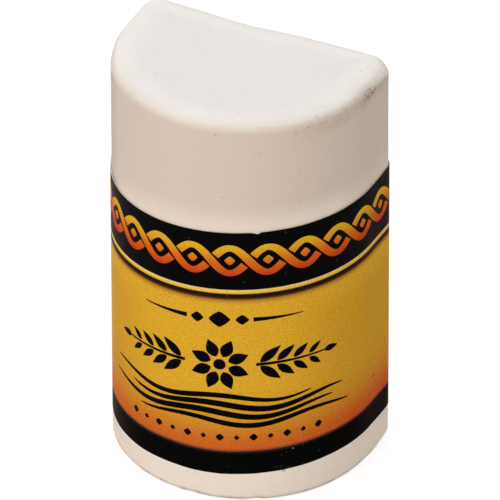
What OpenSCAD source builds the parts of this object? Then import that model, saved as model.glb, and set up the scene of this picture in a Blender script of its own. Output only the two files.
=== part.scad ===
// Furniture repair wax stick: a cast wax block with a printed wrap-around label.
// Seen from above the block is an arch: a half-round nose to -Y, straight flanks and a flat back to +Y.
// It stands on its base, +Z up, with the origin at the middle of the base. Millimetres.

/* [Wax stick] */
// Width across the flanks
stick_width = 32; // [28:0.5:40]
// Height from base to top
stick_height = 53; // [50:0.5:70]
// Straight length of each flank, between the round nose and the back corner
flank_length = 4.6; // [2:0.1:10]
// Radius of the two upright back corners
back_corner_radius = 2.2; // [2:0.1:4]
// Rounding of the cast top rim
rim_radius = 1.8; // [0.4:0.1:1.9]
// Rounding of the trimmed base edge
base_radius = 0.4; // [0.2:0.1:1]

/* [Label] */
// Height of the label between its two long edges
label_height = 34; // [26:0.5:38]
// Height of the label's lower edge above the base, at the middle of the nose
label_lift = 3.7; // [2.5:0.1:6]
// Lean of the label as stuck on, right end up (degrees)
label_skew = 2.6; // [-3:0.1:3]
// Thickness of the label's face film
film_thickness = 0.1; // [0.05:0.01:0.2]
// Thickness of the adhesive under the film
adhesive_thickness = 0.03; // [0.02:0.01:0.08]

/* [Lap on the back] */
// Length by which the label's tail covers its first end
lap_length = 8; // [3:0.5:10]
// Middle of the lap, sideways from the middle of the back
lap_offset = 3; // [-4:0.5:4]
// Length over which the tail climbs onto the first end
lap_ramp = 0.6; // [0.3:0.1:1]
// Unprinted film left showing beside the tail's cut edge
lap_margin = 0.2; // [0.1:0.05:0.5]

/* [Print] */
// Thickness of a printed coat
ink_thickness = 0.02; // [0.02:0.01:0.05]
// Height of the black header band
header_height = 8; // [5:0.1:10]
// Height of the gold rule under the header
gold_rule_height = 0.6; // [0.3:0.1:1.5]
// Height of the brown rule under the gold one
brown_rule_height = 0.8; // [0.3:0.1:1.5]
// Height of the black footer band
footer_height = 3.2; // [2:0.1:6]

/* [Hidden] */
$fn = 128;

// Plan of the stick
nose_radius = stick_width / 2;
stick_depth = nose_radius + flank_length + back_corner_radius;
nose_y = nose_radius - stick_depth / 2;
corner_x = nose_radius - back_corner_radius;
corner_y = nose_y + flank_length;
back_y = corner_y + back_corner_radius;

// Levels above the wax, and the heights of the printed zones above the label's lower edge
film_level = adhesive_thickness;
ink_level = film_level + film_thickness;
header_z = label_height - header_height;
gold_rule_z = header_z - gold_rule_height;
brown_rule_z = gold_rule_z - brown_rule_height;

// Lap, from left to right: foot of the ramp, the label's first end, the tail's cut edge
first_end_x = lap_offset - lap_length / 2;
ramp_x = first_end_x - lap_ramp;
tail_x = first_end_x + lap_length;
lap_climb = adhesive_thickness + film_thickness;

// Size of cutting blocks, larger than the stick
reach = stick_width + stick_height;

// Colours
wax_colour = [0.92, 0.89, 0.85];
adhesive_colour = [0.85, 0.82, 0.7];
film_colour = [0.96, 0.96, 0.94];
black_ink = [0.05, 0.05, 0.05];
gold_ink = [0.85, 0.68, 0.3];
brown_ink = [0.2, 0.1, 0.05];
yellow_ink = [0.9, 0.68, 0.18];

// Quarter of a disc in the first quadrant, for rounded edges
module quarter(radius) {
    intersection() {
        circle(radius);
        square(radius);
    }
}

// Upright half section of the block, from an axis at x = 0 out to its wall, with both edges rounded
module edge_section(wall) {
    square([wall - rim_radius, stick_height]);
    square([wall - base_radius, stick_height - rim_radius]);
    translate([0, base_radius])
        square([wall, stick_height - rim_radius - base_radius]);
    translate([wall - rim_radius, stick_height - rim_radius])
        quarter(rim_radius);
    translate([wall - base_radius, base_radius])
        mirror([0, 1])
            quarter(base_radius);
}

// Plan of the stick, grown outwards all round
module outline(grow) {
    translate([0, nose_y]) {
        intersection() {
            circle(nose_radius + grow);
            translate([-reach, -reach])
                square([2 * reach, reach]);
        }
        translate([-nose_radius - grow, 0])
            square([stick_width + 2 * grow, flank_length]);
        translate([-corner_x, 0])
            square([2 * corner_x, flank_length + back_corner_radius + grow]);
    }
    for (side = [-1, 1])
        translate([side * corner_x, corner_y])
            circle(back_corner_radius + grow);
}

// Plan of one layer of the wrapped label, at a level above the wax.
// On the back it starts at start_x and runs right round to the foot of the ramp.
// There its tail climbs onto the label's first end and lies flat on it up to the tail's cut edge.
module layer_plan(level, thickness, start_x) {
    foot_y = back_y + level;
    tail_y = foot_y + lap_climb;
    difference() {
        outline(level + thickness);
        outline(level);
        translate([ramp_x, 0])
            square([start_x - ramp_x, reach]);
    }
    polygon([
        [ramp_x, foot_y],
        [first_end_x, tail_y],
        [tail_x, tail_y],
        [tail_x, tail_y + thickness],
        [first_end_x, tail_y + thickness],
        [ramp_x, foot_y + thickness]
    ]);
}

// One layer between two heights above the label's lower edge, leaning as the label does
module wrapped_layer(level, thickness, low, high, start_x) {
    intersection() {
        linear_extrude(stick_height)
            layer_plan(level, thickness, start_x);
        translate([0, 0, label_lift])
            rotate([0, -label_skew, 0])
                translate([-reach, -reach, low])
                    cube([2 * reach, 2 * reach, high - low]);
    }
}

// Printed coat on the film's face, between two heights on the label
module printed_zone(low, high) {
    wrapped_layer(ink_level, ink_thickness, low, high, tail_x + lap_margin);
}

// Solid cast block, built from its nose, flanks, back corners and back
module wax_stick() {
    color(wax_colour) {
        translate([0, nose_y, 0])
            rotate([0, 0, 180])
                rotate_extrude(angle = 180)
                    edge_section(nose_radius);
        translate([0, corner_y, 0])
            rotate([90, 0, 0])
                linear_extrude(flank_length) {
                    edge_section(nose_radius);
                    mirror([1, 0])
                        edge_section(nose_radius);
                }
        for (side = [0, 1])
            mirror([side, 0, 0])
                translate([corner_x, corner_y, 0])
                    rotate_extrude(angle = 90)
                        edge_section(back_corner_radius);
        translate([-corner_x, corner_y, 0])
            rotate([90, 0, 90])
                linear_extrude(2 * corner_x)
                    edge_section(back_corner_radius);
    }
}

module label_adhesive() {
    color(adhesive_colour)
        wrapped_layer(0, adhesive_thickness, 0, label_height, first_end_x);
}

module label_film() {
    color(film_colour)
        wrapped_layer(film_level, film_thickness, 0, label_height, first_end_x);
}

module header_band() {
    color(black_ink)
        printed_zone(header_z, label_height);
}

module gold_rule() {
    color(gold_ink)
        printed_zone(gold_rule_z, header_z);
}

module brown_rule() {
    color(brown_ink)
        printed_zone(brown_rule_z, gold_rule_z);
}

module yellow_panel() {
    color(yellow_ink)
        printed_zone(footer_height, brown_rule_z);
}

module footer_band() {
    color(black_ink)
        printed_zone(0, footer_height);
}

wax_stick();
label_adhesive();
label_film();
header_band();
gold_rule();
brown_rule();
yellow_panel();
footer_band();
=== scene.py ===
# Furniture repair wax stick: a cast wax block with a printed wrap-around label.
# Lengths are in millimetres until a mesh is made; Blender's own objects are in metres.
import math

import bmesh
import bpy
from mathutils import Matrix, Quaternion, Vector, noise


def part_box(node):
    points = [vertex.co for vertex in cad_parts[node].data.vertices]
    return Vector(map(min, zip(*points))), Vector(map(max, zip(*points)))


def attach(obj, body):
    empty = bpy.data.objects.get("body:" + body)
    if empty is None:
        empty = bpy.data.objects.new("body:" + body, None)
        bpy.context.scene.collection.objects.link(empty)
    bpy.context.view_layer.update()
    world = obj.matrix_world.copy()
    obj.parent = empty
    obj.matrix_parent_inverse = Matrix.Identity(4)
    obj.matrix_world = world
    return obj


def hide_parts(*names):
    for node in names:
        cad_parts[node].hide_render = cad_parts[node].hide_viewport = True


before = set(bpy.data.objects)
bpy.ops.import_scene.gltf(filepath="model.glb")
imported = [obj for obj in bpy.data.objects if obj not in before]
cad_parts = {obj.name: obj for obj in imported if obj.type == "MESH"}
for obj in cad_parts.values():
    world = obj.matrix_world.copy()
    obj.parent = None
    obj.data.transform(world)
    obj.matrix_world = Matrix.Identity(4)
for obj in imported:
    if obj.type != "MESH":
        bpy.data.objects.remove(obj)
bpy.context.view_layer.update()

MM = 0.001
IMAGE_SIZE = 500


def box_mm(node):
    """Lowest and highest corner of a solid, in millimetres."""
    low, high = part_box(node)
    return low / MM, high / MM


# Sizes that the solids' boxes don't show
BACK_CORNER = 2.2
BASE_RADIUS = 0.4
LABEL_LIFT = 3.7
LABEL_SKEW = math.radians(2.6)
LAP_LENGTH = 8.0
LAP_OFFSET = 3.0
LAP_RAMP = 0.6
LAP_MARGIN = 0.2

# Plan of the stick, from the wax solid's box
wax_low, wax_high = box_mm("wax_stick")
STICK_HEIGHT = wax_high.z
NOSE_RADIUS = (wax_high.x - wax_low.x) / 2
NOSE_Y = wax_low.y + NOSE_RADIUS
BACK_Y = wax_high.y
CORNER_X = NOSE_RADIUS - BACK_CORNER
CORNER_Y = BACK_Y - BACK_CORNER

# Lengths along the outline, from the middle of the nose
ARC_END = NOSE_RADIUS * math.pi / 2
FLANK_END = ARC_END + CORNER_Y - NOSE_Y
CORNER_END = FLANK_END + BACK_CORNER * math.pi / 2
HALF_LOOP = CORNER_END + CORNER_X


def level_of(node):
    """Height of a layer's face above the wax."""
    return box_mm(node)[1].x - NOSE_RADIUS


def zone_of(node):
    """Lower and upper edge of a layer, above the label's lower edge."""
    low, high = box_mm(node)
    slope = high.x * math.sin(LABEL_SKEW)
    lower = (low.z - LABEL_LIFT) * math.cos(LABEL_SKEW) + slope
    upper = (high.z - LABEL_LIFT) * math.cos(LABEL_SKEW) - slope
    return lower, upper


ADHESIVE_LEVEL = level_of("label_adhesive")
FILM_LEVEL = level_of("label_film")
INK_LEVEL = level_of("yellow_panel")
# Share of an ink's thickness in its flat coat; the motifs on it stand to the full thickness
COAT_SHARE = 0.4
COAT_LEVEL = FILM_LEVEL + COAT_SHARE * (INK_LEVEL - FILM_LEVEL)
LABEL_HEIGHT = zone_of("label_film")[1]

# Top rim: place along the outline, reach in from the wall, depth, and the power of its curve.
# A power of 2 is a plain ellipse, less is more like a chamfer, more is squarer.
RIM_LINE = [
    (-47.0, 2.3, 1.7, 2.4), (-36.2, 2.3, 1.7, 2.4), (-31.0, 1.3, 0.9, 2.4), (-24.0, 3.4, 1.55, 2.4),
    (-18.0, 3.4, 2.0, 2.4), (-14.0, 3.4, 1.85, 2.4), (-5.0, 3.4, 1.5, 2.4), (20.0, 3.4, 1.5, 2.4),
    (25.5, 2.9, 1.75, 1.8), (28.0, 2.2, 1.75, 1.6), (30.7, 1.6, 1.55, 1.35), (33.2, 1.6, 1.8, 2.1),
    (38.0, 2.3, 1.7, 2.4), (47.0, 2.3, 1.7, 2.4),
]

# Worn back corners: place along the outline, drop of the top there, and reach of the wear
CORNER_WEAR = [(31.7, 0.23, 2.2), (-29.8, 0.38, 3.0)]

# Bow of the label's foot: place along the outline, and how far the foot lies above a straight line.
# The bow fades out upwards over its height.
LABEL_BOW = [
    (-30.0, 0.0), (-18.0, 0.12), (-12.0, 0.15), (-4.0, 0.03),
    (4.0, -0.24), (9.0, -0.17), (20.0, 0.05), (30.0, 0.0),
]
BOW_HEIGHT = 16.0

# Lap on the back, in x and along the outline
FIRST_END_X = LAP_OFFSET - LAP_LENGTH / 2
RAMP_X = FIRST_END_X - LAP_RAMP
TAIL_X = FIRST_END_X + LAP_LENGTH
TAIL_END = -(HALF_LOOP + TAIL_X)
FIRST_END = HALF_LOOP - FIRST_END_X
PRINT_END = HALF_LOOP - TAIL_X - LAP_MARGIN

# Lengths of the label's facets along the outline, and how far the ramp's short ones reach past it
NOSE_FACET = 0.45
FLAT_FACET = 0.8
CORNER_FACET = 0.2
RAMP_FACET = 0.1
RAMP_MARGIN = 0.3

# Faces that meet at more than this angle keep a sharp edge
SHARP_ANGLE = math.radians(50)


def smooth(value):
    """Soft step from 0 to 1."""
    value = min(1.0, max(0.0, value))
    return value * value * (3 - 2 * value)


def hill(value, width):
    """Bell curve of height 1."""
    return math.exp(-((value / width) ** 2))


def wall_point(s):
    """Point on the stick's outline and its outward direction, s mm from the nose, + towards +X.
    Past the middle of the back it runs straight on."""
    side = 1 if s >= 0 else -1
    run = abs(s)
    if run <= ARC_END:
        turn = run / NOSE_RADIUS
        out = Vector((math.sin(turn), -math.cos(turn), 0))
        point = Vector((0, NOSE_Y, 0)) + NOSE_RADIUS * out
    elif run <= FLANK_END:
        out = Vector((1, 0, 0))
        point = Vector((NOSE_RADIUS, NOSE_Y + run - ARC_END, 0))
    elif run <= CORNER_END:
        turn = (run - FLANK_END) / BACK_CORNER
        out = Vector((math.cos(turn), math.sin(turn), 0))
        point = Vector((CORNER_X, CORNER_Y, 0)) + BACK_CORNER * out
    else:
        out = Vector((0, 1, 0))
        point = Vector((HALF_LOOP - run, BACK_Y, 0))
    return Vector((side * point.x, point.y, 0)), Vector((side * out.x, out.y, 0))


def along_line(line, s):
    """Values at a place along the outline, from a table of places and values with soft steps between."""
    values = list(line[0][1:])
    for (start, *first), (stop, *second) in zip(line, line[1:]):
        if s > start:
            share = smooth((s - start) / (stop - start))
            values = [a + (b - a) * share for a, b in zip(first, second)]
    return values


def top_height(point):
    """Height of the top's nominal face above a point of the plan."""
    height = STICK_HEIGHT
    for s, drop, reach in CORNER_WEAR:
        height -= drop * hill((point.xy - wall_point(s)[0].xy).length, reach)
    return height


def wax_point(s, z):
    """Point on the wall or the rim of the wax, at a height."""
    reach, depth, power = along_line(RIM_LINE, s)
    rise = min(1.0, max(0.0, (z - STICK_HEIGHT) / depth + 1))
    inset = reach * (1 - (1 - rise ** power) ** (1 / power))
    point, out = wall_point(s)
    point -= out * inset
    point.z = z
    return point


def climb(s):
    """Lift of the label's tail where it lies on the label's first end."""
    x = -s - HALF_LOOP
    return FILM_LEVEL * smooth((x - RAMP_X) / LAP_RAMP)


def label_point(s, height, level):
    """Point on the label, at a height above its lower edge and a level above the wax."""
    point, out = wall_point(s)
    point += out * (level + climb(s))
    height += along_line(LABEL_BOW, s)[0] * smooth(1 - height / BOW_HEIGHT)
    point.z = LABEL_LIFT + (height + point.x * math.sin(LABEL_SKEW)) / math.cos(LABEL_SKEW)
    return point


def label_height_of(point):
    """Height of any point above the plane of the label's lower edge."""
    return (point.z - LABEL_LIFT) * math.cos(LABEL_SKEW) - point.x * math.sin(LABEL_SKEW)


def steps(start, stop, step_at):
    """Values from start to stop, each a local step from the last.
    The last step may be up to half as long again."""
    values = [start]
    while values[-1] + 1.5 * step_at(values[-1]) < stop:
        values.append(values[-1] + step_at(values[-1]))
    return values + [stop]


def label_step(s):
    """Length of a facet of the label along the outline."""
    run = abs(s)
    if run < ARC_END:
        return NOSE_FACET
    if run < FLANK_END:
        return FLAT_FACET
    if run < CORNER_END:
        return CORNER_FACET
    x = -s - HALF_LOOP
    on_ramp = RAMP_X - RAMP_MARGIN < x < FIRST_END_X + RAMP_MARGIN
    return RAMP_FACET if on_ramp else FLAT_FACET


def keep_places(mesh, places):
    """Stores each vertex's place on the label, for the materials.
    A face that crosses the middle of the back runs on past it."""
    values = []
    for face in mesh.polygons:
        furthest = max(places[index][0] for index in face.vertices)
        for index in face.vertices:
            s, height, depth = places[index]
            if furthest - s > HALF_LOOP:
                s += 2 * HALF_LOOP
            values += [s, height, depth]
    held = mesh.attributes.new("label_mm", "FLOAT_VECTOR", "CORNER")
    held.data.foreach_set("vector", values)


def add_object(name, data):
    """New object in the scene."""
    thing = bpy.data.objects.new(name, data)
    bpy.context.scene.collection.objects.link(thing)
    return thing


class Piece:
    """Mesh of a piece in millimetres, with the place of each vertex on the label."""

    def __init__(self):
        self.bm = bmesh.new()
        self.places = []

    def add_vertex(self, point, place):
        """New vertex at a point."""
        self.places.append(place)
        return self.bm.verts.new(point)

    def fan(self, hub, ring):
        """Faces from one vertex to a ring of others."""
        for k in range(len(ring)):
            self.bm.faces.new((hub, ring[k - 1], ring[k]))

    def join(self, *rings):
        """Faces from each ring of vertices to the next."""
        for first, second in zip(rings, rings[1:]):
            for k in range(len(first)):
                self.bm.faces.new((first[k - 1], first[k], second[k], second[k - 1]))

    def finish(self, name, material, slot, node=None):
        """Makes it an object that rides on the root body, and may replace a node."""
        bmesh.ops.recalc_face_normals(self.bm, faces=self.bm.faces)
        self.bm.transform(Matrix.Scale(MM, 4))
        mesh = bpy.data.meshes.new(name)
        self.bm.to_mesh(mesh)
        self.bm.free()
        mesh.shade_smooth()
        mesh.set_sharp_from_angle(angle=SHARP_ANGLE)
        keep_places(mesh, self.places)
        mesh.materials.append(material)
        piece = add_object(name, mesh)
        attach(piece, "root")
        if node:
            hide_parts(node)


class Nodes:
    """A node tree, with short calls for the nodes that it is made of."""

    def __init__(self, owner):
        owner.use_nodes = True
        self.tree = owner.node_tree
        self.tree.nodes.clear()

    def put(self, socket, value):
        """Links a socket to another one or to a node's first output, or sets its constant value."""
        if isinstance(value, bpy.types.Node):
            value = value.outputs[0]
        if isinstance(value, bpy.types.NodeSocket):
            self.tree.links.new(value, socket)
        elif socket.type == "RGBA":
            socket.default_value = (*value, 1.0)
        else:
            socket.default_value = value

    def add(self, kind, inputs=(), **settings):
        """New node of a kind, with its settings and what goes into its sockets."""
        node = self.tree.nodes.new(kind)
        for key, value in settings.items():
            setattr(node, key, value)
        for key, value in dict(inputs).items():
            self.put(node.inputs[key], value)
        return node

    def math(self, operation, first, second):
        """Result of an operation on two values."""
        return self.add("ShaderNodeMath", {0: first, 1: second}, operation=operation).outputs[0]

    def show_by_ray(self, kind, lighting, seen):
        """Output of one shader for the light it gives, and of another where it is seen directly."""
        rays = self.add("ShaderNodeLightPath").outputs
        clear = self.math("MAXIMUM", rays["Is Glossy Ray"], rays["Is Transmission Ray"])
        direct = self.math("MAXIMUM", rays["Is Camera Ray"], clear)
        self.add(kind, {"Surface": self.add("ShaderNodeMixShader", {0: direct, 1: lighting, 2: seen})})


class Graph(Nodes):
    """A node material round one shader."""

    def __init__(self, name):
        self.material = bpy.data.materials.new(name)
        super().__init__(self.material)
        self.shader = self.add("ShaderNodeBsdfPrincipled")
        self.add("ShaderNodeOutputMaterial", {"Surface": self.shader})

    def set(self, **values):
        """Sets sockets of the shader, named with underscores for spaces."""
        for key, value in values.items():
            self.put(self.shader.inputs[key.replace("_", " ")], value)

    def product(self, *factors):
        """Product of masks and numbers."""
        total = factors[0]
        for factor in factors[1:]:
            total = self.math("MULTIPLY", total, factor)
        return total

    def span(self, value, low, high, to_low=0.0, to_high=1.0, kind="SMOOTHSTEP"):
        """Step of a value between two limits, soft unless its kind says otherwise."""
        limits = {"From Min": low, "From Max": high, "To Min": to_low, "To Max": to_high}
        node = self.add("ShaderNodeMapRange", {"Value": value, **limits}, interpolation_type=kind)
        return node.outputs["Result"]

    def band(self, value, start, full, fade, end):
        """Mask of a value that rises softly from start to full, and falls from fade to end."""
        return self.product(self.span(value, start, full), self.span(value, fade, end, 1.0, 0.0))

    def vector(self, operation, first, second):
        """Node of an operation on two vectors, or on a vector and a scale."""
        other = "Scale" if operation == "SCALE" else 1
        return self.add("ShaderNodeVectorMath", {0: first, other: second}, operation=operation)

    def split(self, vector):
        """The three parts of a vector."""
        return tuple(self.add("ShaderNodeSeparateXYZ", {0: vector}).outputs)

    def place(self):
        """Position on the object, in millimetres."""
        return self.vector("SCALE", self.add("ShaderNodeTexCoord").outputs["Object"], 1 / MM)

    def label_place(self):
        """Place on the label in millimetres: the vector, then along the label, up it, and the depth.
        The depth is a layer's level above the wax, or how far the wax lies in from its wall."""
        place = self.add("ShaderNodeAttribute", attribute_name="label_mm").outputs["Vector"]
        return place, *self.split(place)

    def noise(self, vector, size, detail):
        """Soft noise from 0 to 1, with features of about the given size."""
        inputs = {"Vector": vector, "Scale": 1 / size, "Detail": detail}
        return self.add("ShaderNodeTexNoise", inputs).outputs["Fac"]

    def warp(self, vector, size, amount):
        """Places shifted a little by noise of the given size, to make round marks irregular."""
        drift = self.add("ShaderNodeTexNoise", {"Vector": vector, "Scale": 1 / size}).outputs["Color"]
        centred = self.vector("SUBTRACT", drift, (0.5, 0.5, 0.5))
        return self.vector("ADD", vector, self.vector("SCALE", centred, 2 * amount))

    def specks(self, vector, cell, radius, share):
        """Mask of small round specks in a share of the cells of a flat grid."""
        inputs = {"Vector": vector, "Scale": 1 / cell}
        cells = self.add("ShaderNodeTexVoronoi", inputs, voronoi_dimensions="2D").outputs
        near = self.span(cells["Distance"], 0.4 * radius / cell, radius / cell, 1.0, 0.0)
        chance = self.add("ShaderNodeSeparateColor", {0: cells["Color"]})
        return self.product(near, self.math("LESS_THAN", chance, share))

    def ellipse(self, first, second, middle, reach):
        """Square of the distance of two values from a middle, 1 on the edge of an ellipse."""
        squares = []
        for value, centre, half in zip((first, second), middle, reach):
            offset = self.math("DIVIDE", self.math("SUBTRACT", value, centre), half)
            squares.append(self.product(offset, offset))
        return self.math("ADD", *squares)

    def ramp(self, value, stops):
        """Colours along a value from 0 to 1."""
        node = self.add("ShaderNodeValToRGB", {0: value})
        elements = node.color_ramp.elements
        while len(elements) < len(stops):
            elements.new(0.5)
        for element, (position, colour) in zip(elements, stops):
            element.position = position
            element.color = (*colour, 1.0)
        return node.outputs["Color"]

    def mix(self, kind, factor, first, second, **settings):
        """Mix of two colours or vectors."""
        node = self.add("ShaderNodeMix", {"Factor": factor}, data_type=kind, **settings)
        pair = [socket for socket in node.inputs if socket.type == kind and socket.name in "AB"]
        for socket, value in zip(pair, (first, second)):
            self.put(socket, value)
        return next(socket for socket in node.outputs if socket.type == kind)

    def blend(self, factor, first, second, blend_type="MIX"):
        """Mix of two colours."""
        return self.mix("RGBA", factor, first, second, blend_type=blend_type)

    def shade(self, colour, factor):
        """Colour made lighter or darker by a factor."""
        grey = self.add("ShaderNodeCombineColor", {0: factor, 1: factor, 2: factor})
        return self.blend(1.0, colour, grey, "MULTIPLY")

    def bump(self, height, depth):
        """Bump of a height from 0 to 1, to a depth in millimetres."""
        self.set(Normal=self.add("ShaderNodeBump", {"Height": height, "Distance": depth * MM}))


# Specks that stand out on the wax: along the wall and up it, or x and y on the top, then their radius
# and strength
WALL_SPECKS = [
    (3.56, 51.43, 0.2, 0.6), (-9.14, 52.26, 0.13, 0.5), (16.03, 52.43, 0.16, 0.45),
    (-9.04, 52.5, 0.11, 0.4), (-9.24, 52.02, 0.11, 0.4), (16.57, 51.53, 0.17, 0.45),
    (14.69, 51.58, 0.17, 0.4), (-7.72, 51.85, 0.16, 0.4), (18.9, 51.04, 0.18, 0.35),
    (26.89, 43.15, 0.16, 0.35), (18.6, 50.2, 0.16, 0.3), (13.14, 51.18, 0.26, 0.3),
    (-4.11, 50.98, 0.15, 0.3), (9.34, 3.0, 0.14, 0.35), (11.6, 3.92, 0.28, 0.55),
    (10.25, 46.81, 0.14, 0.25), (14.3, 44.75, 0.14, 0.25), (8.25, 49.2, 0.14, 0.25),
]
TOP_SPECKS = [
    (-0.92, -3.03, 0.15, 0.55), (-13.56, 7.4, 0.2, 0.35), (-2.5, -9.28, 0.14, 0.35),
    (-6.97, 5.77, 0.14, 0.3), (13.86, 6.63, 0.14, 0.3),
]
SPECK_BROWN = (0.3, 0.2, 0.12)

# Grazed place on the top rim: along the outline, height, half length and half height
GRAZE_S = 25.3
GRAZE_Z = 51.35
GRAZE_REACH = (2.3, 0.8)

# Colours of the wax by how far it faces up, from the wall to the top: partly the wax's own colour and
# partly painted light, the top lighter and the walls darker
CAST_SKIN_AND_PAINTED_LIGHT = [
    (0.0, (0.714, 0.612, 0.541)), (0.25, (0.72, 0.625, 0.555)), (0.5, (0.71, 0.64, 0.57)),
    (0.75, (0.735, 0.68, 0.62)), (0.93, (0.79, 0.755, 0.715)), (1.0, (0.865, 0.84, 0.83)),
]

# Painted highlights that make the rim's ends paler: stretch along the outline, range of slopes, strength
# and colour
PAINTED_RIM_HIGHLIGHTS = [
    ((22.5, 27.0, 32.0, 36.0), (0.15, 0.5, 0.88, 0.99), 0.8, (0.95, 0.92, 0.87)),
    ((-31.0, -24.0, -14.5, -9.0), (0.05, 0.4, 0.85, 0.99), 0.3, (0.95, 0.9, 0.86)),
]

# Colours of painted light on the wall above and below the label, from one value of x to another
PAINTED_LIGHT_ENDS = (-13.5, 16.0)
PAINTED_LIGHT_ABOVE = [
    (0.0, (0.7, 0.59, 0.515)), (0.06, (0.77, 0.65, 0.57)), (0.15, (0.85, 0.745, 0.655)),
    (0.29, (0.86, 0.765, 0.68)), (0.79, (0.875, 0.785, 0.71)), (0.96, (0.93, 0.825, 0.735)),
    (1.0, (0.82, 0.7, 0.62)),
]
PAINTED_LIGHT_BELOW = [
    (0.0, (0.9, 0.77, 0.68)), (0.29, (0.925, 0.838, 0.755)), (0.93, (0.93, 0.84, 0.755)),
    (1.0, (0.985, 0.855, 0.745)),
]


def speck_places():
    """Places, radii and strengths of the specks that stand out."""
    on_wall = [(wax_point(s, z), *look) for s, z, *look in WALL_SPECKS]
    on_top = [(Vector((x, y, STICK_HEIGHT)), *look) for x, y, *look in TOP_SPECKS]
    return on_wall + on_top


class WaxGraph(Graph):
    """Graph of the wax, with the places and slopes that its masks are made from."""

    def __init__(self):
        super().__init__("wax")
        self.spot = self.place()
        self.x, self.y, self.z = self.split(self.spot)
        self.facing_up = self.split(self.add("ShaderNodeTexCoord").outputs["Normal"])[2]
        self.upright = self.span(self.facing_up, 0.0, 0.4, 1.0, 0.0)
        self.wrap, self.along, self.up, self.inset = self.label_place()
        self.over_label = self.math("GREATER_THAN", self.up, LABEL_HEIGHT / 2)


def cast_skin_and_painted_light(g):
    """Cream walls and a whiter cast top, the difference partly painted light, with painted highlights that
    make the top's edges at the back and left and the rim's ends palest.
    """
    # Ramp by slope: partly painted light, the top lighter and the walls darker
    skin = g.ramp(g.facing_up, CAST_SKIN_AND_PAINTED_LIGHT)
    # Painted highlight on the top near the wall, at the back and the left
    near_wall = g.span(g.inset, 0.4, 5.0, 1.0, 0.0)
    back_and_left = g.math(
        "MAXIMUM",
        g.span(g.y, -8.0, 8.0, 0.1, 1.0),
        g.span(g.x, -15.0, -9.0, 0.9, 0.0),
    )
    painted_edge_highlight = g.product(near_wall, g.span(g.facing_up, 0.6, 1.0), back_and_left)
    skin = g.blend(painted_edge_highlight, skin, (0.935, 0.925, 0.89))
    # Painted highlights on the rim's ends
    for stretch, slopes, strength, colour in PAINTED_RIM_HIGHLIGHTS:
        rim_highlight = g.product(g.band(g.along, *stretch), g.band(g.facing_up, *slopes), strength)
        skin = g.blend(rim_highlight, skin, colour)
    return skin


def paint_light_by_label(g, skin):
    """Warmer painted light on the wall above and below the label, a painted highlight in a pale line at
    its foot, and painted shade above its left end.
    """
    across = g.span(g.x, *PAINTED_LIGHT_ENDS, kind="LINEAR")
    # Painted highlight on the wall just above the label, darker towards its left end
    above = g.product(g.span(g.up, LABEL_HEIGHT, LABEL_HEIGHT + 3.8, 0.85, 0.0), g.upright)
    skin = g.blend(above, skin, g.ramp(across, PAINTED_LIGHT_ABOVE))
    # Painted light from below that makes the wall under the label paler
    below = g.product(g.span(g.up, -1.5, 1.0, 1.0, 0.0), g.upright)
    skin = g.blend(below, skin, g.ramp(across, PAINTED_LIGHT_BELOW))
    # Painted highlight: a pale line just below the label's foot
    painted_highlight_line = g.product(g.band(g.up, -1.0, 0.0, 1.0, 2.0), 0.75)
    skin = g.blend(painted_highlight_line, skin, (1.0, 0.96, 0.89))
    # Painted shade on the wall above the label's left end
    shaded = g.product(g.band(g.along, -31.0, -23.0, -16.5, -11.5), g.upright, g.over_label)
    return g.blend(shaded, skin, (0.84, 0.79, 0.79), "MULTIPLY")


def mottle_and_darken(g, skin):
    """Soft mottling, darker patches along the base edge, and darker grains on the right half of the rim.
    """
    mottle = g.span(g.noise(g.spot, 4.0, 5.0), 0.35, 0.7, 0.0, 0.045)
    skin = g.blend(mottle, skin, (0.6, 0.5, 0.42))
    clouding = g.product(g.span(g.noise(g.spot, 0.4, 2.0), 0.35, 0.7, 0.0, 0.05), g.upright)
    skin = g.blend(clouding, skin, (0.56, 0.45, 0.38))
    patches = g.span(g.noise(g.spot, 1.6, 3.0), 0.42, 0.66, 0.5, 1.0)
    dark_base_edge = g.product(g.span(g.z, 0.2, 0.7, 1.0, 0.0), patches, 0.8)
    skin = g.blend(dark_base_edge, skin, (0.3, 0.19, 0.12))
    on_rim = g.product(g.band(g.z, 49.3, 50.8, 51.4, 52.6), g.band(g.along, 11.0, 18.0, 30.0, 38.0))
    grains = g.span(g.noise(g.spot, 0.5, 4.0), 0.33, 0.68, 0.2, 1.0)
    return g.blend(g.product(on_rim, grains, 0.3), skin, (0.42, 0.31, 0.22))


def add_graze(g, skin):
    """Dark streaks along the rim where it is grazed, in a soft halo."""
    to_graze = g.ellipse(g.along, g.z, (GRAZE_S, GRAZE_Z), GRAZE_REACH)
    skin = g.blend(g.span(to_graze, 0.1, 2.2, 0.3, 0.0), skin, (0.46, 0.34, 0.24))
    drawn_out = g.add("ShaderNodeCombineXYZ", {"X": g.product(g.along, 0.45), "Y": g.z})
    streaks = g.span(g.noise(drawn_out, 0.2, 3.0), 0.47, 0.6)
    graze = g.product(g.span(to_graze, 0.05, 0.9, 1.0, 0.0), streaks, 0.85)
    return g.blend(graze, skin, (0.24, 0.16, 0.1))


def add_edge_shadow(g, skin):
    """Painted shadow in a dark line along the left part of the label's upper edge."""
    line = g.span(g.up, LABEL_HEIGHT + 0.12, LABEL_HEIGHT + 0.26, 0.85, 0.0)
    edge_shadow = g.product(line, g.upright, g.over_label, g.band(g.along, -30.0, -20.0, -15.0, -12.5))
    return g.blend(edge_shadow, skin, (0.08, 0.06, 0.05))


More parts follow.
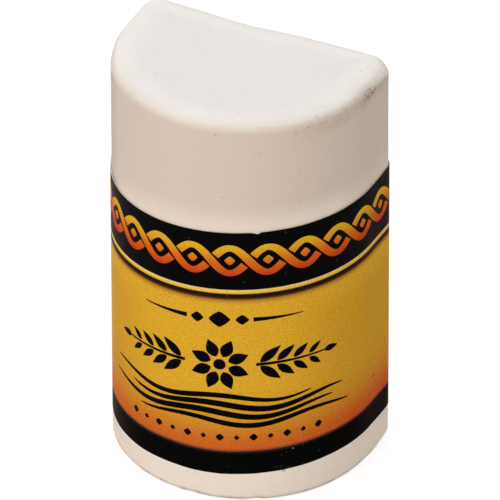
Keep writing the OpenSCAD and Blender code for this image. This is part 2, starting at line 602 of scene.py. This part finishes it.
def wax_material():
    """Cream wax with a whiter cast skin on top, partly painted light, painted highlights and shade,
    mottling, small specks, a graze, and darker patches at the base edge and the rim.
    """
    g = WaxGraph()
    skin = cast_skin_and_painted_light(g)
    skin = paint_light_by_label(g, skin)
    skin = mottle_and_darken(g, skin)
    skin = add_graze(g, skin)
    on_top = g.math("GREATER_THAN", g.facing_up, 0.8)
    flat = g.warp(g.mix("VECTOR", on_top, g.wrap, g.spot), 0.25, 0.16)
    pores = g.specks(flat, 4.1, 0.17, 0.35)
    skin = g.blend(g.product(pores, 0.15), skin, (0.36, 0.24, 0.15))
    fine = g.specks(flat, 1.7, 0.11, 0.3)
    skin = g.blend(g.product(fine, 0.1), skin, (0.42, 0.33, 0.26))
    skin = add_edge_shadow(g, skin)
    uneven = g.warp(g.spot, 0.25, 0.2)
    for point, radius, strength in speck_places():
        away = g.vector("DISTANCE", uneven, point).outputs["Value"]
        near = g.span(away, 0.3 * radius, 1.2 * radius, strength, 0.0)
        skin = g.blend(near, skin, SPECK_BROWN)
    rough = g.span(g.noise(g.spot, 2.2, 3.0), 0.3, 0.7, 0.46, 0.6)
    g.set(Base_Color=skin, Roughness=rough, Specular_IOR_Level=0.12)
    g.set(Subsurface_Weight=0.3, Subsurface_Scale=1.2 * MM, Subsurface_Radius=(1.0, 0.72, 0.5))
    grain = g.math("ADD", g.noise(g.spot, 0.45, 3.0), g.product(pores, -2.0))
    g.bump(grain, 0.02)
    return g.material


def film_material():
    """White label film, seen on the lap and at its cut edges.
    The edges are tinted by the wax beside them, and dark by the right back corner."""
    g = Graph("label_film")
    _, along, up, _ = g.label_place()
    tone = g.noise(g.place(), 0.8, 3.0)
    colour = g.ramp(tone, [(0.3, (0.8, 0.79, 0.76)), (0.7, (0.88, 0.87, 0.85))])
    edge = g.math("SUBTRACT", 1.0, g.band(up, 0.1, 0.3, LABEL_HEIGHT - 0.4, LABEL_HEIGHT - 0.2))
    colour = g.blend(g.product(edge, g.span(along, -15.5, -13.0)), colour, (0.66, 0.56, 0.48))
    right_corner = g.band(along, 27.0, 29.5, 36.0, 41.0)
    colour = g.blend(g.product(edge, right_corner), colour, (0.03, 0.025, 0.022))
    g.set(Base_Color=colour, Roughness=0.5, Specular_IOR_Level=0.3)
    g.bump(tone, 0.005)
    return g.material


def adhesive_material():
    """Cloudy yellowish pressure-sensitive adhesive."""
    g = Graph("adhesive")
    tone = g.noise(g.place(), 0.6, 3.0)
    colour = g.ramp(tone, [(0.3, (0.58, 0.52, 0.38)), (0.7, (0.7, 0.65, 0.5))])
    g.set(Base_Color=colour, Roughness=0.35, Specular_IOR_Level=0.4)
    g.bump(tone, 0.01)
    return g.material


def ink_material(name, paint, gloss=1.05):
    """Printed coat: a function paints its colour, and fine halftone grain and dust are added.
    The gloss is the coat's index of refraction."""
    g = Graph(name)
    place, along, up, _ = g.label_place()
    colour = paint(g, along, up)
    colour = g.shade(colour, g.span(g.noise(place, 0.16, 1.0), 0.3, 0.75, 0.77, 1.13))
    dust = g.specks(g.warp(place, 0.2, 0.1), 2.3, 0.08, 0.14)
    colour = g.blend(g.product(dust, 0.22), colour, (0.5, 0.46, 0.42))
    rough = g.span(g.noise(place, 1.5, 3.0), 0.3, 0.7, 0.4, 0.52)
    g.set(Base_Color=colour, Roughness=rough, IOR=gloss, Specular_Tint=(1.0, 0.78, 0.7))
    g.set(Sheen_Weight=0.08, Sheen_Roughness=0.3, Sheen_Tint=(1.0, 0.35, 0.2))
    g.bump(g.noise(place, 0.35, 2.0), 0.004)
    return g.material


def ramp_over(zone, stops):
    """Paint that runs through colours from one height on the label to another."""

    def paint(g, along, up):
        return g.ramp(g.span(up, *zone, kind="LINEAR"), stops)

    return paint


BLACK = (0.0022, 0.0028, 0.0027)
YELLOW = (0.8, 0.445, 0.032)

# Small marks on the print: along the label and up it, half length, half height and strength
PANEL_MARKS = [(26.0, 6.7, 0.28, 0.34, 0.6)]
FOOTER_MARKS = [
    (12.7, 2.8, 0.15, 0.09, 0.45), (14.0, 3.0, 0.09, 0.07, 0.14), (11.9, 2.4, 0.09, 0.07, 0.1),
    (11.3, 2.2, 0.1, 0.07, 0.12), (11.0, 0.55, 0.9, 0.2, 0.015), (12.2, 0.25, 0.5, 0.12, 0.03),
]


def add_marks(g, colour, along, up, marks, tint):
    """Colour with small soft-edged marks of a tint."""
    for s, height, length, tall, strength in marks:
        near = g.span(g.ellipse(along, up, (s, height), (length, tall)), 0.1, 1.2, strength, 0.0)
        colour = g.blend(near, colour, tint)
    return colour


def panel_paint(g, along, up):
    """Yellow that turns orange towards its foot, is a little deeper at the sides, and has one fleck."""
    colour = ramp_over(zone_of("yellow_panel"), [
        (0.0, (0.1, 0.04, 0.03)), (0.018, (0.66, 0.14, 0.022)), (0.065, (0.67, 0.165, 0.022)),
        (0.107, (0.69, 0.215, 0.024)), (0.154, (0.71, 0.28, 0.026)), (0.224, (0.745, 0.355, 0.028)),
        (0.318, (0.785, 0.42, 0.03)), (0.42, YELLOW), (0.97, YELLOW), (1.0, (0.42, 0.19, 0.02)),
    ])(g, along, up)
    aside = g.math("ABSOLUTE", g.math("SUBTRACT", along, 3.5), 0.0)
    deeper = g.product(g.span(aside, 7.0, 16.0), g.band(up, 5.0, 10.0, 20.0, 23.5))
    colour = g.blend(deeper, colour, (0.91, 0.88, 0.89), "MULTIPLY")
    redder = g.product(g.band(along, 15.0, 23.0, 30.0, 37.0), g.span(up, 4.0, 9.0, 1.0, 0.0))
    colour = g.blend(redder, colour, (1.0, 0.8, 1.0), "MULTIPLY")
    return add_marks(g, colour, along, up, PANEL_MARKS, (0.16, 0.05, 0.015))


def footer_paint(g, along, up):
    """Black that fades a little at its upper edge, with dust and scuffs."""
    colour = ramp_over(zone_of("footer_band"), [
        (0.0, BLACK), (0.88, BLACK), (1.0, (0.03, 0.018, 0.02)),
    ])(g, along, up)
    return add_marks(g, colour, along, up, FOOTER_MARKS, (0.72, 0.66, 0.6))


wax = wax_material()
film = film_material()
adhesive = adhesive_material()
black_ink = ink_material("black_ink", lambda g, along, up: BLACK)
footer_ink = ink_material("footer_ink", footer_paint, 1.03)
gold_ink = ink_material("gold_ink", ramp_over(zone_of("gold_rule"), [
    (0.0, (0.4, 0.23, 0.02)), (0.25, (0.92, 0.58, 0.045)), (0.6, (0.94, 0.61, 0.055)),
    (0.82, (0.97, 0.73, 0.32)), (1.0, (0.58, 0.42, 0.19)),
]))
brown_ink = ink_material("brown_ink", ramp_over(zone_of("brown_rule"), [
    (0.0, (0.22, 0.085, 0.015)), (0.35, (0.03, 0.011, 0.006)), (1.0, (0.012, 0.006, 0.005)),
]))
panel_ink = ink_material("yellow_ink", panel_paint)

# Middle of the header's braid, how far its waves rise, and how far its colours run past them
BRAID_MIDDLE = sum(zone_of("header_band")) / 2 + 0.1
BRAID_RISE = 1.75
BRAID_MARGIN = 0.6
braid_zone = (BRAID_MIDDLE - BRAID_RISE - BRAID_MARGIN, BRAID_MIDDLE + BRAID_RISE + BRAID_MARGIN)
braid_ink = ink_material("braid_ink", ramp_over(braid_zone, [
    (0.0, (0.6, 0.035, 0.012)), (0.45, (0.74, 0.17, 0.015)), (0.75, (0.8, 0.4, 0.02)),
    (1.0, (0.82, 0.52, 0.03)),
]))

# Facets of the wax: heights where it shows and where it is hidden, their overlap, and lengths round it
SHOWN_FACET = 0.4
HIDDEN_FACET = 1.6
SHOWN_MARGIN = 2
FRONT_FACET = 0.25
BACK_FACET = 0.6

# Shares of the way in from the base's edge and from the rim, and steps round those two edges
BASE_SHARES = (0.75, 0.5, 0.25, 0.1)
TOP_SHARES = [0.02, 0.04, 0.065] + [0.1 + 0.05 * k for k in range(18)]
BASE_EDGE_STEPS = 6
RIM_STEPS = 18

# The base and the top are drawn in to this place on the middle line
MIDDLE_Y = NOSE_Y - 4

# Casting waviness of the wax, and the size of its waves
WAVINESS = 0.03
WAVE_SIZE = 9

# Marks in the wax: place along the outline, height, half length, half height, depth
DENTS = [
    (13.2, 51.1, 0.28, 0.22, 0.12), (-9.1, 52.3, 0.12, 0.45, 0.14),
    (8.3, 0.3, 0.7, 0.35, 0.2), (0.6, 0.3, 0.9, 0.25, 0.12),
]

# Graze: its depth, the size of its pits, and how far they spread
GRAZE_DEPTH = 0.14
GRAZE_PIT = 0.7
GRAZE_COVER = 0.2

# Bumpy stretch of the rim: its middle, half length, height, half height and depth, and a bump's size
BUMPY_RIM = (19.0, 8.0, 51.8, 0.9, 0.05)
BUMP_SIZE = 0.8

# How far the foot of the wax stands out below the label, at places along the outline.
# It starts at a height above the label's lower edge, and is full after a fall.
FOOT_LINE = [
    (-40.0, 0.05), (-30.0, 0.13), (-15.0, 0.13), (-12.5, 0.1), (-9.5, 0.0), (0.0, 0.0), (3.5, 0.1),
    (11.0, 0.12), (16.0, 0.05), (19.5, -0.05), (23.5, -0.1), (27.0, 0.11), (31.0, 0.13), (40.0, 0.05),
]
FOOT_START = 0.4
FOOT_FALL = 1.5

# Extra rounding of the base edge at the right back corner: its middle, half length and size
WORN_BASE = (30.5, 3.0, 0.7)

# Hollow of the back above the label, and dish of the top
HOLLOW_DEPTH = 0.5
HOLLOW_X = -3.0
HOLLOW_HALF_WIDTH = 5.2
HOLLOW_FOOT = 39.0
HOLLOW_TOP = STICK_HEIGHT - 2
TOP_DISH = 0.1


def wall_step(z):
    """Height of a facet of the wall, fine where the wax shows."""
    shown = z < LABEL_LIFT + SHOWN_MARGIN or z > LABEL_LIFT + LABEL_HEIGHT - SHOWN_MARGIN
    return SHOWN_FACET if shown else HIDDEN_FACET


def wax_step(s):
    """Length of a facet of the wax along the outline."""
    return FRONT_FACET if abs(s) < CORNER_END else BACK_FACET


def wax_stations():
    """Stations up the wax's section, from the middle of the base to the middle of the top.
    Each is a zone and a place in it."""
    deepest_rim = max(depth for _, _, depth, _ in RIM_LINE)
    deepest_wear = max(drop for _, drop, _ in CORNER_WEAR)
    rim_foot = STICK_HEIGHT - (deepest_rim + deepest_wear)
    base_top = BASE_RADIUS + WORN_BASE[2]
    stations = [("base", share) for share in BASE_SHARES]
    stations += [("base_edge", k / BASE_EDGE_STEPS) for k in range(BASE_EDGE_STEPS + 1)]
    stations += [("wall", z) for z in steps(base_top, rim_foot, wall_step)[1:-1]]
    stations += [("rim", k / RIM_STEPS) for k in range(RIM_STEPS + 1)]
    stations += [("top", share) for share in TOP_SHARES]
    return stations


def station_place(zone, share, s):
    """Place of a station: how far inside the wall, how far drawn to the middle, height and lean.
    On the rim and the top the height is counted from the top's face."""
    radius = base_size(s)
    if zone == "base":
        return radius, share, 0.0, -math.pi / 2
    if zone == "base_edge":
        lean = math.pi / 2 * (share - 1)
        return radius * (1 - math.cos(lean)), 0.0, radius * (1 + math.sin(lean)), lean
    if zone == "wall":
        return 0.0, 0.0, share, 0.0
    reach, depth, power = along_line(RIM_LINE, s)
    if zone == "top":
        return reach, share, 0.0, math.pi / 2
    turn = math.pi / 2 * share
    lean = math.atan2(reach * math.sin(turn), depth * math.cos(turn))
    inset = reach * (1 - max(0.0, math.cos(turn)) ** (2 / power))
    rise = math.sin(turn) ** (2 / power)
    return inset, 0.0, -depth * (1 - rise), lean


def wax_dip(s, point):
    """How far the wax lies below its nominal face: waviness, dents, and the rim's graze and bumps."""
    dip = WAVINESS + WAVINESS * noise.noise(point / WAVE_SIZE)
    for along, height, length, tall, depth in DENTS:
        dip += depth * hill(s - along, length) * hill(point.z - height, tall)
    length, tall = GRAZE_REACH
    graze = hill(s - GRAZE_S, length) * hill(point.z - GRAZE_Z, tall)
    dip += GRAZE_DEPTH * graze * max(0.0, GRAZE_COVER + noise.noise(point / GRAZE_PIT))
    along, length, height, tall, depth = BUMPY_RIM
    bumps = hill(s - along, length) * hill(point.z - height, tall)
    dip += depth * bumps * noise.noise(point / BUMP_SIZE)
    return max(dip, 0.0)


def foot_out(s, height):
    """How far the foot of the wax stands out, by its height above the label's lower edge."""
    return along_line(FOOT_LINE, s)[0] * smooth((FOOT_START - height) / FOOT_FALL)


def base_size(s):
    """Rounding of the base edge."""
    along, length, extra = WORN_BASE
    return BASE_RADIUS + extra * hill(s - along, length)


def back_hollow(x, z):
    """How far the back is drawn in above the label, where the cast wax shrank."""
    rise = smooth((z - HOLLOW_FOOT) / (HOLLOW_TOP - HOLLOW_FOOT))
    return HOLLOW_DEPTH * rise * hill(x - HOLLOW_X, HOLLOW_HALF_WIDTH)


def build_wax():
    """Closed skin of the wax block, as rings from the base to the top."""
    block = Piece()
    around = steps(-HALF_LOOP, HALF_LOOP, wax_step)[:-1]
    middle = Vector((0, MIDDLE_Y, 0))
    rings = []

    def vertex(point, s, depth):
        return block.add_vertex(point, (s, label_height_of(point), depth))

    foot = vertex(middle, 0.0, NOSE_RADIUS)
    for zone, share in wax_stations():
        ring = []
        for s in around:
            wall, out = wall_point(s)
            inset, draw, z, lean = station_place(zone, share, s)
            if zone in ("rim", "top"):
                z += top_height((wall - out * inset).lerp(middle, draw))
            wall.z = z
            wall += out * foot_out(s, label_height_of(wall))
            point = (wall - out * inset).lerp(middle, draw)
            depth = (wall - point).xy.length
            point.y -= back_hollow(point.x, z) * max(0.0, out.y) * (1 - draw)
            point.z = z
            facing = out * math.cos(lean) + Vector((0, 0, math.sin(lean)))
            if zone != "base":
                point -= facing * wax_dip(s, point)
            if zone == "top":
                point.z -= TOP_DISH * smooth(draw)
            ring.append(vertex(point, s, depth))
        rings.append(ring)
    crown = Vector((middle.x, middle.y, STICK_HEIGHT))
    crown.z -= wax_dip(0.0, crown) + TOP_DISH
    top = vertex(crown, 0.0, NOSE_RADIUS)
    block.fan(foot, rings[0])
    block.join(*rings)
    block.fan(top, rings[-1])
    block.finish("wax_block", wax, "wax", "wax_stick")


# Waves of the label's cut edges, the gap that keeps them within its height, the row of noise they are
# taken from, and the shift between the two edges
CUT_WAVE = 0.03
CUT_WAVE_LENGTH = 2.5
CUT_GAP = 0.03
CUT_ROW = 7
CUT_SHIFT = 31

# Small nick in the label's upper edge: place along the outline, depth and half length
NICK_S = 8.4
NICK_DEPTH = 0.28
NICK_HALF_LENGTH = 0.3

# Rows of facets up a layer, its shortest facet, and how near a zone's edge is to be the label's own
LAYER_ROWS = 4
SHORTEST_FACET = 0.2
EDGE_NEAR = 0.01

# Depth of a motif in its coat, as a share of what stands out; places across a ribbon; rings of a patch
SUNK = 0.3
ACROSS = (-1, -0.5, 0, 0.5, 1)
RINGS = (0.34, 0.67, 1)
MOTIF_LOW = COAT_LEVEL - SUNK * (INK_LEVEL - COAT_LEVEL)


def cut_wave(s):
    """Unevenness of a cut edge."""
    return CUT_WAVE * noise.noise(Vector((s / CUT_WAVE_LENGTH, CUT_ROW, 0)))


def upper_edge(s):
    """Height of the label's upper edge, with its nick."""
    return LABEL_HEIGHT - CUT_GAP + cut_wave(s) - NICK_DEPTH * hill(s - NICK_S, NICK_HALF_LENGTH)


def lower_edge(s):
    """Height of the label's lower edge."""
    return CUT_GAP + cut_wave(s + CUT_SHIFT)


class LabelPiece(Piece):
    """Piece of the label: a closed layer, or a motif of closed ribbons and patches on its face."""

    def vertex(self, s, height, level):
        """New vertex at a place on the label."""
        return self.add_vertex(label_point(s, height, level), (s, height, level))

    def tube(self, sections):
        """Closed skin round flat sections, each a ring along one face and back along the other."""
        corners = len(sections[0])
        for section in (sections[0], sections[-1]):
            for k in range(corners // 2 - 1):
                self.bm.faces.new([section[m] for m in (k, k + 1, corners - 2 - k, corners - 1 - k)])
        self.join(*sections)

    def ribbon(self, path):
        """Ribbon along points of s, height and half width."""
        sections = []
        for k, (s, height, half) in enumerate(path):
            before = path[max(k - 1, 0)]
            after = path[min(k + 1, len(path) - 1)]
            run = Vector((after[0] - before[0], after[1] - before[1])).normalized()
            section = []
            for level, shares in ((MOTIF_LOW, ACROSS), (INK_LEVEL, ACROSS[::-1])):
                for share in shares:
                    offset = share * half
                    section.append(self.vertex(s - run.y * offset, height + run.x * offset, level))
            sections.append(section)
        self.tube(sections)

    def patch(self, s, height, outline):
        """Patch round a point, in rings that follow the label's curve. Its outline is given as offsets."""
        edges = []
        for level in (MOTIF_LOW, INK_LEVEL):
            hub = self.vertex(s, height, level)
            rings = []
            for share in RINGS:
                rings.append([self.vertex(s + share * a, height + share * b, level) for a, b in outline])
            self.fan(hub, rings[0])
            self.join(*rings)
            edges.append(rings[-1])
        self.join(*edges)


def build_layer(name, node, inner, outer, stop, material, slot):
    """Closed sheet of the label between two levels, from the tail's cut edge round to stop."""
    sheet = LabelPiece()
    low, high = zone_of(node)
    around = steps(TAIL_END, FIRST_END, label_step)
    around = [s for s in around if s < stop - SHORTEST_FACET] + [stop]

    def column(s, level):
        bottom = lower_edge(s) if low < EDGE_NEAR else low
        top = upper_edge(s) if high > LABEL_HEIGHT - EDGE_NEAR else high
        heights = [bottom + (top - bottom) * row / LAYER_ROWS for row in range(LAYER_ROWS + 1)]
        return [sheet.vertex(s, height, level) for height in heights]

    sheet.tube([column(s, outer) + column(s, inner)[::-1] for s in around])
    sheet.finish(name, material, slot, node)


OUTLINE_POINTS = 16


def lozenge(half_width, half_height, hollow=0.6):
    """Outline of a lozenge with hollow sides, which is an ellipse if they aren't hollow at all."""
    turns = [2 * math.pi * k / OUTLINE_POINTS for k in range(OUTLINE_POINTS)]
    round_points = [(math.cos(turn), math.sin(turn)) for turn in turns]
    return [
        (half_width * a * abs(a) ** hollow, half_height * b * abs(b) ** hollow) for a, b in round_points
    ]


# Braid round the header, with a bead between each two crossings
BRAID_PERIOD = 9.0
BRAID_START = -42.0
BRAID_CROSSINGS = 18
BRAID_HALF_WIDTH = 0.52
BRAID_GAP = 0.52
BRAID_STEP = 0.15
BRAID_THINNING = 0.2
BEAD_HALF_WIDTH = 0.62


def build_braid():
    """Two waves that pass over and under each other round the header band."""
    pitch = BRAID_PERIOD / 2
    for strand, sign, first in (("a", 1, 0), ("b", -1, -1)):
        strokes = LabelPiece()
        for k in range(first, BRAID_CROSSINGS, 2):
            start = BRAID_START + max(k, 0) * pitch
            stop = BRAID_START + min(k + 2, BRAID_CROSSINGS) * pitch
            if k >= 0:
                start += BRAID_GAP
            if k + 2 <= BRAID_CROSSINGS:
                stop -= BRAID_GAP
            count = round((stop - start) / BRAID_STEP)
            path = []
            for n in range(count + 1):
                s = start + (stop - start) * n / count
                phase = 2 * math.pi * (s - BRAID_START) / BRAID_PERIOD
                height = BRAID_MIDDLE + sign * BRAID_RISE * math.sin(phase)
                thinned = 1 - BRAID_THINNING + BRAID_THINNING * abs(math.cos(phase))
                path.append((s, height, BRAID_HALF_WIDTH * thinned))
            strokes.ribbon(path)
        strokes.finish("header_braid_" + strand, braid_ink, "yellow_ink")
    beads = LabelPiece()
    for k in range(BRAID_CROSSINGS):
        bead = lozenge(BEAD_HALF_WIDTH, BEAD_HALF_WIDTH)
        beads.patch(BRAID_START + (k + 0.5) * pitch, BRAID_MIDDLE, bead)
    beads.finish("header_beads", braid_ink, "yellow_ink")


# Middle of the panel's motifs along the label, and the facets of their strokes
MOTIF_S = 4.0
STROKE_FACET = 0.45

# Rosette: height on the label, petals and hub
ROSETTE_HEIGHT = 15.4
ROSETTE_PETALS = 8
PETAL_START = 1.15
HUB_RADIUS = 0.75

# Sprigs beside the rosette: stem, from the rosette's middle, and the leaves along it
STEM_START = 4.3
STEM_END = 13.0
STEM_HALF_WIDTH = 0.22
STEM_TAPER = 0.12
SPRIG_LEAVES = 4
LEAF_START = 0.5
LEAF_PITCH = 2.0
LEAF_OFFSET = 0.3
LEAF_ANGLE = math.radians(40)
LEAF_DWINDLE = 0.13
TIP_OVERLAP = 0.2

# Lengths and half widths of a petal, a sprig's first leaves and the leaf at its tip
PETAL = (2.5, 0.72)
LEAF = (3.1, 0.56)
TIP_LEAF = (1.9, 0.4)

# Outline of any leaf: its facets, half width at its points, and how near its foot it is widest
LEAF_FACETS = 12
LEAF_POINT = 0.04
LEAF_FULLNESS = 0.8


def stroke(start, stop, height_at, half_at):
    """Path of a ribbon along the label, from functions of its share of the way."""
    count = math.ceil(abs(stop - start) / STROKE_FACET)
    shares = [n / count for n in range(count + 1)]
    return [(start + (stop - start) * t, height_at(t), half_at(t)) for t in shares]


def leaf(s, height, angle, shape, size=1):
    """Path of a pointed leaf that grows from a point at an angle."""
    length, half_width = [size * measure for measure in shape]
    path = []
    for n in range(LEAF_FACETS + 1):
        t = n / LEAF_FACETS
        half = LEAF_POINT + half_width * math.sin(math.pi * t ** LEAF_FULLNESS)
        path.append((s + length * t * math.cos(angle), height + length * t * math.sin(angle), half))
    return path


def build_rosette():
    """Rosette with a round hub, in the middle of the panel."""
    rosette = LabelPiece()
    for k in range(ROSETTE_PETALS):
        angle = 2 * math.pi * (k + 0.5) / ROSETTE_PETALS
        start = (MOTIF_S + PETAL_START * math.cos(angle), ROSETTE_HEIGHT + PETAL_START * math.sin(angle))
        rosette.ribbon(leaf(*start, angle, PETAL))
    rosette.patch(MOTIF_S, ROSETTE_HEIGHT, lozenge(HUB_RADIUS, HUB_RADIUS, 0))
    rosette.finish("panel_rosette", black_ink, "black_ink")


def build_sprigs():
    """Two leafy sprigs, one on each side of the rosette."""
    sprigs = LabelPiece()
    for side in (-1, 1):
        root = MOTIF_S + side * STEM_START
        tip = MOTIF_S + side * STEM_END
        outward = 0 if side > 0 else math.pi
        sprigs.ribbon(stroke(
            root, tip, lambda t: ROSETTE_HEIGHT, lambda t: STEM_HALF_WIDTH - STEM_TAPER * t))
        for k in range(SPRIG_LEAVES):
            size = 1 - LEAF_DWINDLE * k
            foot = root + side * (LEAF_START + LEAF_PITCH * k)
            for turn in (-1, 1):
                angle = outward + side * turn * LEAF_ANGLE
                sprigs.ribbon(leaf(foot, ROSETTE_HEIGHT + turn * LEAF_OFFSET, angle, LEAF, size))
        sprigs.ribbon(leaf(tip - side * TIP_OVERLAP, ROSETTE_HEIGHT, outward, TIP_LEAF))
    sprigs.finish("panel_sprigs", black_ink, "black_ink")


# Strokes of flowing grain: start and stop along the label, height, half width and phase
GRAIN_STROKES = [
    (-12.0, 15.0, 10.6, 0.3, 0.0), (-8.5, 19.5, 9.5, 0.36, 0.5),
    (-12.5, 18.0, 8.4, 0.36, 0.9), (-7.0, 20.5, 7.3, 0.3, 1.4),
]
GRAIN_SWAY = 0.45
GRAIN_WAVE = 15.0
GRAIN_POINT = 0.05
GRAIN_FULLNESS = 0.6


def build_grain():
    """Tapered strokes that wave like wood grain, under the rosette."""
    strokes = LabelPiece()
    for start, stop, height, half, phase in GRAIN_STROKES:
        strokes.ribbon(stroke(
            start, stop,
            lambda t: height + GRAIN_SWAY * math.sin(
                2 * math.pi * (start + (stop - start) * t) / GRAIN_WAVE + phase),
            lambda t: GRAIN_POINT + half * math.sin(math.pi * t) ** GRAIN_FULLNESS))
    strokes.finish("panel_grain", black_ink, "black_ink")


# Rule above the rosette: height, half sizes of its lozenges, places from the middle, and its arms
RULE_HEIGHT = 21.8
MIDDLE_LOZENGE = (1.3, 1.1)
SIDE_LOZENGE = (0.8, 0.7)
SIDE_LOZENGE_S = 2.7
ARM_START = 4.0
ARM_END = 10.0
ARM_HALF_WIDTH = 0.3
ARM_TAPER = 0.25

# Row of lozenges at the panel's foot: height, count on each side, pitch, and half sizes in turn
ROW_HEIGHT = 5.2
ROW_SIDE_COUNT = 6
ROW_PITCH = 2.0
ROW_SIZES = (0.5, 0.34)


def build_dividers():
    """Rule with lozenges above the rosette, and a row of small lozenges below the grain."""
    rule = LabelPiece()
    rule.patch(MOTIF_S, RULE_HEIGHT, lozenge(*MIDDLE_LOZENGE))
    for side in (-1, 1):
        rule.patch(MOTIF_S + side * SIDE_LOZENGE_S, RULE_HEIGHT, lozenge(*SIDE_LOZENGE))
        rule.ribbon(stroke(
            MOTIF_S + side * ARM_START, MOTIF_S + side * ARM_END,
            lambda t: RULE_HEIGHT, lambda t: ARM_HALF_WIDTH - ARM_TAPER * t))
    rule.finish("panel_rule", black_ink, "black_ink")
    row = LabelPiece()
    for k in range(-ROW_SIDE_COUNT, ROW_SIDE_COUNT + 1):
        size = ROW_SIZES[k % 2]
        row.patch(MOTIF_S + ROW_PITCH * k, ROW_HEIGHT, lozenge(size, size))
    row.finish("panel_lozenges", black_ink, "black_ink")


build_wax()
build_layer("adhesive_layer", "label_adhesive", 0.0, ADHESIVE_LEVEL, FIRST_END, adhesive, "adhesive")
build_layer("film_sheet", "label_film", ADHESIVE_LEVEL, FILM_LEVEL, FIRST_END, film, "label_film")
for piece_name, node_name, ink, slot_name in (
    ("header_coat", "header_band", black_ink, "black_ink"),
    ("gold_coat", "gold_rule", gold_ink, "gold_ink"),
    ("brown_coat", "brown_rule", brown_ink, "brown_ink"),
    ("panel_coat", "yellow_panel", panel_ink, "yellow_ink"),
    ("footer_coat", "footer_band", footer_ink, "black_ink"),
):
    build_layer(piece_name, node_name, FILM_LEVEL, COAT_LEVEL, PRINT_END, ink, slot_name)
build_braid()
build_rosette()
build_sprigs()
build_grain()
build_dividers()


def build_floor():
    """Pale floor: white to the camera, with the stick's soft shadow kept."""
    reach = 4000 * MM
    corners = [(-reach, -reach, 0), (reach, -reach, 0), (reach, reach, 0), (-reach, reach, 0)]
    mesh = bpy.data.meshes.new("floor")
    mesh.from_pydata(corners, [], [(0, 1, 2, 3)])
    material = bpy.data.materials.new("floor")
    nodes = Nodes(material)
    bounce = nodes.add("ShaderNodeBsdfDiffuse", {"Color": (0.74, 0.7, 0.66)})
    shaded = nodes.add("ShaderNodeBsdfDiffuse", {"Color": (0.35, 0.35, 0.35)})
    glow = nodes.add("ShaderNodeEmission", {"Strength": 0.78})
    lit = nodes.add("ShaderNodeAddShader", {0: shaded, 1: glow})
    nodes.show_by_ray("ShaderNodeOutputMaterial", bounce, lit)
    mesh.materials.append(material)
    floor = add_object("floor", mesh)


def build_world():
    """Soft even light from all round, on a white background."""
    world = bpy.data.worlds.new("studio")
    bpy.context.scene.world = world
    nodes = Nodes(world)
    soft = nodes.add("ShaderNodeBackground", {"Color": (1.0, 0.975, 0.95), "Strength": 0.36})
    white = nodes.add("ShaderNodeBackground", {"Color": (1, 1, 1)})
    nodes.show_by_ray("ShaderNodeOutputWorld", soft, white)


# Soft lamps: place and size in metres, power in watts and colour. They face a height above the floor.
LAMPS = {
    "overhead": ((-0.1, 0.05, 0.6), 0.5, 1.75, (1.0, 0.99, 0.98)),
    "left_fill": ((-0.28, -0.6, 0.24), 0.4, 1.2, (1.0, 0.95, 0.9)),
    "front_fill": ((0.36, -0.62, 0.28), 0.4, 1.6, (1.0, 0.95, 0.9)),
}
LAMP_AIM = 0.03


def build_lamps():
    """Square soft lamps that face the middle of the stick."""
    for name, (place, size, power, colour) in LAMPS.items():
        data = bpy.data.lights.new(name, "AREA")
        data.size = size
        data.energy = power
        data.color = colour
        lamp = add_object(name, data)
        lamp.location = place
        aim = Vector((0, 0, LAMP_AIM)) - Vector(place)
        lamp.rotation_mode = "QUATERNION"
        lamp.rotation_quaternion = aim.to_track_quat("-Z", "Y")


def build_camera():
    """Long-lens camera at the picture's angle."""
    azimuth = math.radians(26.166)
    elevation = math.radians(33.706)
    roll = math.radians(0.12)
    distance = 1500.0
    pixels_per_mm = 8.454
    shift_right = 0.308
    shift_up = -1.327
    level = math.cos(elevation)
    back = Vector((math.sin(azimuth) * level, -math.cos(azimuth) * level, math.sin(elevation)))
    right = Vector((math.cos(azimuth), math.sin(azimuth), 0))
    up = back.cross(right)
    aim = Vector((0, NOSE_Y, STICK_HEIGHT / 2)) + shift_right * right + shift_up * up
    data = bpy.data.cameras.new("camera")
    data.sensor_width = 36
    data.lens = data.sensor_width * distance * pixels_per_mm / IMAGE_SIZE
    camera = add_object("camera", data)
    camera.location = (aim + back * distance) * MM
    camera.rotation_mode = "QUATERNION"
    camera.rotation_quaternion = (-back).to_track_quat("-Z", "Y") @ Quaternion((0, 0, 1), -roll)
    bpy.context.scene.camera = camera


build_floor()
build_world()
build_lamps()
build_camera()
bpy.context.scene.view_settings.view_transform = "Standard"
